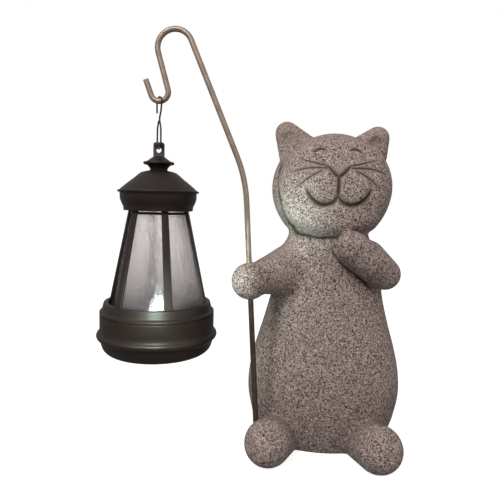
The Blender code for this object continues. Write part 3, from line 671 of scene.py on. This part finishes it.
# Black-annealed steel: a thin dark scale, dull in some places and slightly polished in others.
SCALE_MARKS = 1.6
black_wire, tree, surface = new_material("black_annealed_wire")
coords = add_node(tree, "TexCoord", "Object")
scale_marks = add_node(tree, "TexNoise", "Fac", {
    "Vector": coords, "Scale": 1 / (SCALE_MARKS * MM), "Detail": 3.0, "Roughness": 0.6,
})
fill_sockets(surface, {
    "Base Color": add_node(tree, "ValToRGB", 0, {0: scale_marks}, [(0.35, "#2a2725"), (0.7, "#4a4643")]),
    "Roughness": add_node(tree, "ValToRGB", 0, {0: scale_marks}, [(0.3, 0.34), (0.7, 0.55)]),
    "Metallic": 0.7,
})
dress(wire, black_wire, "hanging_wire")


# The lantern is four mouldings that snap together. Its bowl is an injection moulding of dark brown
# polypropylene, with a round bead about its middle and a wide curved underside, and it hides the cell.

lantern_foot = Vector((hook.x, hook.y, 84.27))
MOULDED_ANGLE = radians(32)


def turned(name, outline, steps=112):
    """A closed outline of (radius, height) turned about the lantern's middle."""
    data = bpy.data.meshes.new(name)
    foot = lantern_foot * MM
    ring = [(foot.x + radius * MM, foot.y, foot.z + height * MM) for radius, height in outline]
    edges = [(k, (k + 1) % len(ring)) for k in range(len(ring))]
    data.from_pydata(ring, edges, [])
    piece = add_object(name, data)
    bpy.ops.object.mode_set(mode="EDIT")
    bpy.ops.mesh.select_all(action="SELECT")
    bpy.ops.mesh.spin(steps=steps, angle=tau, center=foot, axis=(0, 0, 1), use_auto_merge=True)
    bpy.ops.mesh.select_all(action="SELECT")
    bpy.ops.mesh.remove_doubles(threshold=WELD_GAP)
    bpy.ops.mesh.delete_loose(use_verts=True, use_edges=True, use_faces=False)
    face_outwards()
    bpy.ops.object.shade_smooth_by_angle(angle=MOULDED_ANGLE)
    return piece


def arc(middle, radius, start, end, steps=6):
    """Points on an arc of an outline, from one angle to another."""
    points = []
    for k in range(steps + 1):
        angle = radians(start + (end - start) * k / steps)
        points.append((middle[0] + radius * cos(angle), middle[1] + radius * sin(angle)))
    return points


# The bowl's outline runs from the middle of its underside, round the bead, over the rim and back inside.
bowl_outline = [(0, 0)] + arc((34.3, 9.0), 9.0, -90, -18, 12) + [(43.9, 10.2)]
bowl_outline += arc((43.9, 14.4), 2.9, -68, 68, 14)
bowl_outline += [(44.2, 18.6), (44.3, 20.4), (44.3, 30.3)] + arc((43.8, 30.4), 0.5, 0, 90, 3)
bowl_outline += [(42.1, 30.9), (42.1, 11.0)] + arc((34.3, 9.6), 7.6, 0, -90, 8)[1:] + [(0, 2.2)]
bowl = turned("lantern_bowl", bowl_outline)

# Moulded polypropylene: a satin skin from the fine spark texture of the mould, with a soft wide shine.
# The spark texture is drawn coarser than the real one, so that it shows.
PLASTIC_CLOUD, SPARK_SIZE = 26, 0.45
brown, tree, surface = new_material("moulded_polypropylene")
coords = add_node(tree, "TexCoord", "Object")
cloud = add_node(tree, "TexNoise", "Fac", {
    "Vector": coords, "Scale": 1 / (PLASTIC_CLOUD * MM), "Detail": 2.0, "Roughness": 0.5,
})
spark = add_node(tree, "TexNoise", "Fac", {
    "Vector": coords, "Scale": 1 / (SPARK_SIZE * MM), "Detail": 1.0, "Roughness": 0.5,
})
fill_sockets(surface, {
    "Base Color": add_node(tree, "ValToRGB", 0, {0: cloud}, [(0.35, "#1f1714"), (0.65, "#271d19")]),
    "Roughness": add_node(tree, "ValToRGB", 0, {0: cloud}, [(0.3, 0.40), (0.7, 0.50)]),
    "IOR": 1.49,
    "Specular IOR Level": 0.34,
    "Normal": add_node(tree, "Bump", "Normal", {"Strength": 0.3, "Distance": 0.03 * MM, "Height": spark}),
})
dress(bowl, brown, "lantern_base")


# The frame snaps onto the bowl: a round ring with a floor, six flat bars that lean in, and a thin
# six-sided ring that ties them just under the cap. It is the same moulded polypropylene.

FLOOR, RING_TOP, BAR_TOP = 34.2, 40.2, 114.2
BAR_TURN = 26
BAR_RISE = 74
BAR_FOOT_RADIUS, BAR_LEAN = 38.6, 15.8
BAR_FOOT_WIDTH, BAR_NARROWING = 6.2, 1.2
BAR_THICKNESS = 2.0


def bar_radius(height):
    return BAR_FOOT_RADIUS - BAR_LEAN * (height - RING_TOP) / BAR_RISE


def bar_half_width(height):
    return (BAR_FOOT_WIDTH - BAR_NARROWING * (height - RING_TOP) / BAR_RISE) / 2


def bar_direction(k):
    angle = radians(BAR_TURN - 90 + 60 * k)
    return Vector((cos(angle), sin(angle), 0))


ring_outline = [(0, 31.2), (44.0, 31.2), (44.3, 31.5), (44.3, 32.8)] + arc((43.7, 32.8), 0.6, 0, 80, 4)
ring_outline += [(42.6, 34.0), (42.3, 34.4), (42.0, 36.6), (41.5, 38.6)] + arc((40.5, 39.5), 0.7, 20, 90, 4)
ring_outline += [(38.0, RING_TOP), (37.9, 34.3), (37.8, FLOOR), (0, FLOOR)]
ring = turned("lantern_frame_moulding", ring_outline)


def add_bar(k):
    """One bar, a tapered box with its edges rounded."""
    out = bar_direction(k)
    aside = Vector((-out.y, out.x, 0))
    corners = []
    for height in (FLOOR - 1, BAR_TOP):
        half = bar_half_width(height)
        outer = bar_radius(height)
        inner = outer - BAR_THICKNESS
        for reach, side in ((inner, -half), (outer, -half), (outer, half), (inner, half)):
            corners.append((lantern_foot + out * reach + aside * side + Vector((0, 0, height))) * MM)
    data = bpy.data.meshes.new("bar")
    faces = [(3, 2, 1, 0), (4, 5, 6, 7)] + [(i, (i + 1) % 4, (i + 1) % 4 + 4, i + 4) for i in range(4)]
    data.from_pydata(corners, [], faces)
    bar = add_object("bar", data)
    apply_modifier(bar, "BEVEL", width=0.5 * MM, segments=3, limit_method="ANGLE")
    return bar


def add_six_sided(name, rows):
    """A closed six-sided band, from its corner radii and heights in section."""
    corners, faces = [], []
    for radius, height in rows:
        middle = lantern_foot + Vector((0, 0, height))
        corners += [(middle + bar_direction(k) * radius) * MM for k in range(6)]
    for row in range(len(rows)):
        low, high = row * 6, (row + 1) % len(rows) * 6
        faces += [(low + k, low + (k + 1) % 6, high + (k + 1) % 6, high + k) for k in range(6)]
    data = bpy.data.meshes.new(name)
    data.from_pydata(corners, [], faces)
    band = add_object(name, data)
    bpy.ops.object.mode_set(mode="EDIT")
    face_outwards()
    return band


# The collar keeps a little inside the bars' faces, so that its own faces don't fall on theirs.
COLLAR_FOOT, COLLAR_TOP = BAR_TOP - 6.1, BAR_TOP - 4.2
INNER_STEP, OUTER_STEP = 0.1, 0.2
inner = [(bar_radius(height) - BAR_THICKNESS + INNER_STEP, height) for height in (COLLAR_TOP, COLLAR_FOOT)]
outer = [(bar_radius(height) - OUTER_STEP, height) for height in (COLLAR_FOOT, COLLAR_TOP)]
collar = add_six_sided("collar", [inner[1], *outer, inner[0]])
for piece in [add_bar(k) for k in range(6)] + [collar]:
    apply_modifier(ring, "BOOLEAN", operation="UNION", solver="EXACT", object=piece)
    bpy.data.objects.remove(piece)
bpy.ops.object.shade_smooth_by_angle(angle=MOULDED_ANGLE)
dress(ring, brown, "lantern_frame")


# The liner is one clear injection moulding of polystyrene, six panes in a sleeve that stands on the floor
# behind the bars. Each pane has a panel on its face, raised into the opening between two bars.

LINER_INSET = BAR_THICKNESS + GAP
LINER_WALL = 1.4
LINER_FOOT, LINER_TOP = FLOOR + GAP, BAR_TOP - 1.2
PANEL_FOOT, PANEL_TOP, PANEL_STEP = 41.4, 107.2, 0.5
PANEL_MARGIN = 0.5
foot_radius = bar_radius(LINER_FOOT) - LINER_INSET
top_radius = bar_radius(LINER_TOP) - LINER_INSET
liner = add_six_sided("clear_liner", [
    (foot_radius, LINER_FOOT), (top_radius, LINER_TOP),
    (top_radius - LINER_WALL, LINER_TOP), (foot_radius - LINER_WALL, LINER_FOOT),
])


def panel_corner(place):
    """Where a corner of a pane's panel goes, from the inset corner near it."""
    height = PANEL_TOP if place.z / MM - lantern_foot.z > (PANEL_FOOT + PANEL_TOP) / 2 else PANEL_FOOT
    reach = place.xy / MM - lantern_foot.xy
    near = sorted(range(6), key=lambda k: -reach.dot(bar_direction(k).xy))
    corner, other = (bar_direction(k) * (bar_radius(height) - LINER_INSET) for k in near[:2])
    along = (other - corner).normalized() * (bar_half_width(height) / cos(pi / 6) + PANEL_MARGIN)
    return (lantern_foot + corner + along + Vector((0, 0, height))) * MM


# The outer faces are inset, the inset corners are moved to the panels' corners, and the panels are raised.
for face in liner.data.polygons:
    outward = face.center - lantern_foot * MM
    face.select = face.normal.xy.dot(outward.xy.normalized()) > 0.5
bpy.ops.object.mode_set(mode="EDIT")
bpy.ops.mesh.select_mode(type="FACE")
bpy.ops.mesh.inset(thickness=3 * MM, use_individual=True)
bpy.ops.object.mode_set(mode="OBJECT")
for face in liner.data.polygons:
    if face.select:
        for k in face.vertices:
            liner.data.vertices[k].co = panel_corner(liner.data.vertices[k].co)
bpy.ops.object.mode_set(mode="EDIT")
bpy.ops.mesh.inset(thickness=0.4 * MM, depth=PANEL_STEP * MM, use_individual=True)
bpy.ops.object.mode_set(mode="OBJECT")
apply_modifier(liner, "BEVEL", width=0.15 * MM, segments=2, limit_method="ANGLE", angle_limit=radians(35))
bpy.ops.object.shade_smooth_by_angle(angle=MOULDED_ANGLE)

# Clear polystyrene: glossy and see-through, with the slow waves and the fine level ripples of a cheap
# moulding, so what is behind it shows in soft upright streaks.
WAVE_WIDTH, WAVE_LENGTH = 3, 80
RIPPLE_WIDTH, RIPPLE_HEIGHT = 6, 0.6
clear_plastic, tree, surface = new_material("clear_polystyrene")
coords = add_node(tree, "TexCoord", "Object")
upright = add_node(tree, "Mapping", 0, {
    "Vector": coords, "Scale": (1 / (WAVE_WIDTH * MM), 1 / (WAVE_WIDTH * MM), 1 / (WAVE_LENGTH * MM)),
})
waves = add_node(tree, "TexNoise", "Fac", {
    "Vector": upright, "Scale": 1.0, "Detail": 3.0, "Roughness": 0.6,
})
wavy = add_node(tree, "Bump", "Normal", {"Strength": 0.7, "Distance": 0.6 * MM, "Height": waves})
level = add_node(tree, "Mapping", 0, {
    "Vector": coords, "Scale": (1 / (RIPPLE_WIDTH * MM), 1 / (RIPPLE_WIDTH * MM), 1 / (RIPPLE_HEIGHT * MM)),
})
ripples = add_node(tree, "TexNoise", "Fac", {
    "Vector": level, "Scale": 1.0, "Detail": 2.0, "Roughness": 0.6,
})
rippled = add_node(tree, "Bump", "Normal", {
    "Strength": 0.6, "Distance": 0.4 * MM, "Height": ripples, "Normal": wavy,
})
fill_sockets(surface, {
    "Base Color": linear("#e6e2e2"), "Transmission Weight": 1.0, "Roughness": 0.19, "IOR": 1.5,
    "Normal": rippled,
})
dress(liner, clear_plastic, "lantern_glass")


# The light is a white diode in the middle of the floor, a clear domed lens with a flange on a round seat.
# It is lit, and its light comes out of the lens above the seat.

SEAT_FOOT = FLOOR + GAP
SEAT_EDGE = 35.5
LENS_RADIUS, LENS_SHOULDER = 2.5, 40.8
lamp_outline = [(0, SEAT_FOOT), (5.8, SEAT_FOOT), (6.0, 34.7), (6.0, SEAT_EDGE)]
lamp_outline += arc((5.8, SEAT_EDGE), 0.2, 0, 90, 2) + [(2.9, 35.7), (2.9, 36.7), (LENS_RADIUS, 36.8)]
lamp_outline += [(LENS_RADIUS, LENS_SHOULDER)] + arc((0, LENS_SHOULDER), LENS_RADIUS, 0, 90, 8)[1:-1]
lamp_outline += [(0, LENS_SHOULDER + LENS_RADIUS)]
lamp = turned("led_lens", lamp_outline, 48)

# A lit lens: cool white, brightest where its light leaves it, with the seat left dim.
GLOW_FOOT, GLOW_FADE, GLOW_STRENGTH = 36.0, 1.5, 150.0
lit, tree, surface = new_material("lit_diode_lens")
coords = add_node(tree, "TexCoord", "Object")
seat_top = (lantern_foot.z + GLOW_FOOT) * MM
glow = add_node(tree, "MapRange", 0, {
    "Value": add_node(tree, "SeparateXYZ", "Z", {0: coords}),
    "From Min": seat_top, "From Max": seat_top + GLOW_FADE * MM, "To Max": GLOW_STRENGTH,
})
fill_sockets(surface, {
    "Base Color": linear("#f2f5f7"), "Roughness": 0.25, "Emission Color": linear("#f0fbff"),
    "Emission Strength": glow,
})
dress(lamp, lit, "led_light")


# The cap snaps over the bars' tops. It is a hollow moulding of the same polypropylene: a stepped skirt, a
# rounded eave, a bell-shaped roof, a spun finial and a flat lug with the hole that the wire goes through.

FOOT, SHELF, BAND_TOP, LUG_FOOT = 110.8, 114.5, 124.5, 152.0
skirt = [(24.6, FOOT), (26.1, FOOT), (26.4, FOOT + 0.3), (26.7, 114.0), (27.5, 115.4), (28.0, 116.6)]
skirt += [(28.8, 118.6), (29.2, 120.5), (29.3, BAND_TOP), (30.6, BAND_TOP)]
eave = arc((30.3, 125.5), 0.8, -70, 110, 7)
roof = [(29.4, 126.5), (28.7, 127.2), (25.0, 130.5), (21.4, 133.4), (18.4, 135.7), (15.6, 138.2)]
roof += [(13.6, 139.7), (11.2, 140.6), (9.0, 141.0), (7.4, 141.3), (6.6, 141.8), (6.7, 142.8)]
finial = [(7.8, 144.4), (8.8, 145.4), (10.0, 145.9)] + arc((10.7, 147.0), 1.1, -80, 100, 8)
finial += [(9.2, 148.4), (7.6, 149.5), (5.6, 151.0), (4.1, LUG_FOOT), (0, LUG_FOOT + 0.3)]
inside = [(0, 138.2), (11.7, 137.2), (23.3, 123.9), (18.6, 117.5), (18.6, SHELF), (24.6, SHELF)]
cap = turned("lantern_cap_moulding", skirt + eave + roof + finial + inside)

# The lug is a flat tab, rounded at its top corners and drilled from front to back.
LUG_HALF_WIDTH, LUG_THICKNESS, LUG_HEIGHT, LUG_ROOT, LUG_CORNER = 4.1, 2.6, 10.8, 3, 1.8
LUG_HOLE, LUG_HOLE_HEIGHT = 4.4, 5.0
deselect()
bpy.ops.mesh.primitive_cube_add(
    size=1, location=(lantern_foot + Vector((0, 0, LUG_FOOT + LUG_HEIGHT / 2 - LUG_ROOT / 2))) * MM,
    scale=(2 * LUG_HALF_WIDTH * MM, LUG_THICKNESS * MM, (LUG_HEIGHT + LUG_ROOT) * MM),
)
lug = bpy.context.object
bpy.ops.object.transform_apply(location=True, rotation=True, scale=True)
lug_top = (lantern_foot.z + LUG_FOOT + LUG_HEIGHT) * MM
bpy.ops.object.mode_set(mode="EDIT")
bpy.ops.mesh.select_mode(type="EDGE")
bpy.ops.mesh.select_all(action="DESELECT")
bpy.ops.object.mode_set(mode="OBJECT")
for edge in lug.data.edges:
    start, end = (lug.data.vertices[k].co for k in edge.vertices)
    at_top = max(abs(start.z - lug_top), abs(end.z - lug_top)) < 0.01 * MM
    edge.select = at_top and abs(start.x - end.x) < 0.01 * MM
bpy.ops.object.mode_set(mode="EDIT")
bpy.ops.mesh.bevel(offset=LUG_CORNER * MM, segments=6)
bpy.ops.object.mode_set(mode="OBJECT")
apply_modifier(cap, "BOOLEAN", operation="UNION", solver="EXACT", object=lug)
bpy.data.objects.remove(lug)
deselect()
bpy.ops.mesh.primitive_cylinder_add(
    vertices=40, radius=LUG_HOLE / 2 * MM, depth=12 * MM, rotation=(pi / 2, 0, 0),
    location=(lantern_foot + Vector((0, 0, LUG_FOOT + LUG_HOLE_HEIGHT))) * MM,
)
drill = bpy.context.object
apply_modifier(cap, "BOOLEAN", operation="DIFFERENCE", solver="EXACT", object=drill)
bpy.data.objects.remove(drill)
apply_modifier(cap, "BEVEL", width=0.25 * MM, segments=2, limit_method="ANGLE", angle_limit=radians(50))
bpy.ops.object.shade_smooth_by_angle(angle=MOULDED_ANGLE)
dress(cap, brown, "lantern_cap")


# The studio: a pale floor and backdrop, a soft key light from above and the left, a weak warm fill from
# the right, the cool light that the lantern throws on the cat, and the camera at the photograph's height.

deselect()
bpy.ops.mesh.primitive_plane_add(size=6, location=(0, 0, 0))
floor = bpy.context.object
floor.name = "studio_floor"
paper, _, surface = new_material("white_paper")
fill_sockets(surface, {
    "Base Color": (0.5, 0.5, 0.5, 1.0), "Roughness": 0.9,
    "Emission Color": (1.0, 1.0, 1.0, 1.0), "Emission Strength": 0.85,
})
floor.data.materials.append(paper)
floor.visible_diffuse = False
floor.visible_glossy = False

# The backdrop is white to the camera. The room that lights the statue is a soft grey, darker below.
ROOM_LOW, ROOM_HIGH = 0.20, 0.45
world = bpy.data.worlds.new("studio")
world.use_nodes = True
tree = world.node_tree
room = tree.nodes["Background"]
rise = add_node(tree, "SeparateXYZ", "Z", {0: add_node(tree, "TexCoord", "Generated")})
shade = add_node(tree, "MapRange", 0, {
    "Value": rise, "From Min": -0.5, "From Max": 0.4, "To Min": ROOM_LOW, "To Max": ROOM_HIGH,
})
fill_sockets(room, {0: (1.0, 0.99, 0.98, 1.0), 1: shade})
backdrop = add_node(tree, "Background", 0, {0: (1.0, 1.0, 1.0, 1.0)})
seen = add_node(tree, "LightPath", "Is Camera Ray")
both = add_node(tree, "MixShader", 0, {0: seen, 1: room.outputs[0], 2: backdrop})
fill_sockets(tree.nodes["World Output"], {0: both})
bpy.context.scene.world = world


def add_light(name, place, target, size, power, colour, beam=180):
    """A soft square light at a place, aimed at a target, with a beam of so many degrees."""
    light = bpy.data.lights.new(name, "AREA")
    light.size = size
    light.spread = radians(beam)
    light.energy = power
    light.color = linear(colour)[:3]
    holder = add_object(name, light)
    holder.location = place
    aim = Vector(target) - Vector(place)
    holder.rotation_euler = aim.to_track_quat("-Z", "Y").to_euler()


# Each light has its place, its target and its size in metres, its power in watts, its colour and its beam.
# The last three stand for the lantern's light, which falls on the cat's cheek and paw and on its own ring.
add_light("key", (-0.40, -0.85, 1.0), (0, 0, 0.17), 0.6, 10.5, "#fff8f2")
add_light("fill", (0.9, -0.8, 0.5), (0, 0, 0.15), 0.8, 1.6, "#fff0e0")
add_light("glow_on_face", (-0.062, -0.095, 0.165), (-0.030, -0.028, 0.196), 0.02, 0.013, "#dcfff6", 60)
add_light("glow_on_paw", (-0.105, -0.105, 0.150), (-0.0624, -0.046, 0.1425), 0.02, 0.0036, "#dcfffa", 50)
add_light("flare_on_frame", (-0.118, -0.135, 0.140), (-0.128, -0.088, 0.124), 0.02, 0.042, "#e6fff0", 120)

# The camera stands as it was fitted to the photograph: its place in metres, and in degrees how far it is
# turned to its left, how far it looks down, and how far it is tilted over.
CAMERA_PLACE = (-0.0362, -0.4286, 0.205)
CAMERA_TURN, CAMERA_DOWN, CAMERA_TILT = 4.0, 5.7, 1.5
camera = add_object("camera", bpy.data.cameras.new("camera"))
camera.data.sensor_width = 36
camera.data.lens = 36
camera.data.clip_start = 0.01
aim = Matrix.Rotation(radians(CAMERA_TURN), 4, "Z") @ Matrix.Rotation(radians(90 - CAMERA_DOWN), 4, "X")
camera.matrix_world = Matrix.Translation(CAMERA_PLACE) @ aim @ Matrix.Rotation(radians(CAMERA_TILT), 4, "Z")
bpy.context.scene.camera = camera
bpy.context.scene.view_settings.view_transform = "Standard"
